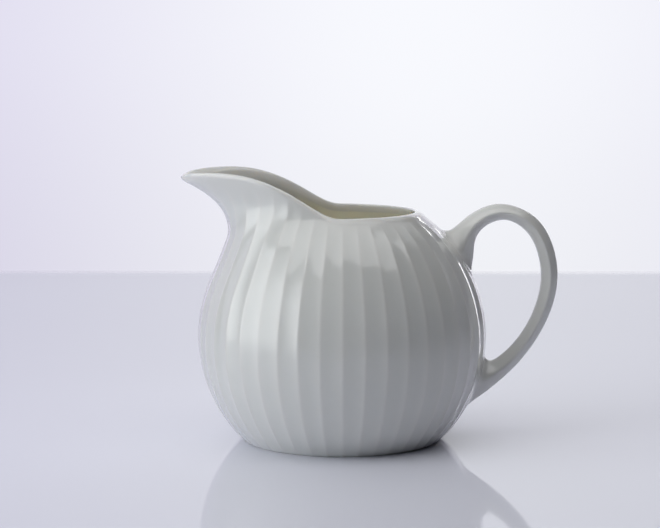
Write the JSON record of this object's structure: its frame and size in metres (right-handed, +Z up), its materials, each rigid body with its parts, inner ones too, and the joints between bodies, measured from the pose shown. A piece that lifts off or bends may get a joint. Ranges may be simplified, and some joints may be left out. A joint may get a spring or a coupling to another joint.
{
  "type": "porcelain cream jug",
  "caption": "Small round fluted porcelain cream jug with a raised pouring spout, a level rim behind it and a looped handle.",
  "frame": {"origin": "on the belly's vertical axis, in the plane of the foot ring's underside", "axes": "+Z up, -X towards the spout, +X towards the handle, the jug mirrors itself in the XZ plane"},
  "size_m": [0.1215, 0.0924, 0.0868],
  "materials": {
    "glazed_porcelain": "clear gloss glaze over white porcelain, bare on the foot ring",
    "fired_slip": "fired porcelain slip"
  },
  "bodies": {
    "root": {"jug_body": "glazed_porcelain", "handle": "glazed_porcelain", "upper_slip_joint": "fired_slip", "lower_slip_joint": "fired_slip"}
  },
  "joints": []
}
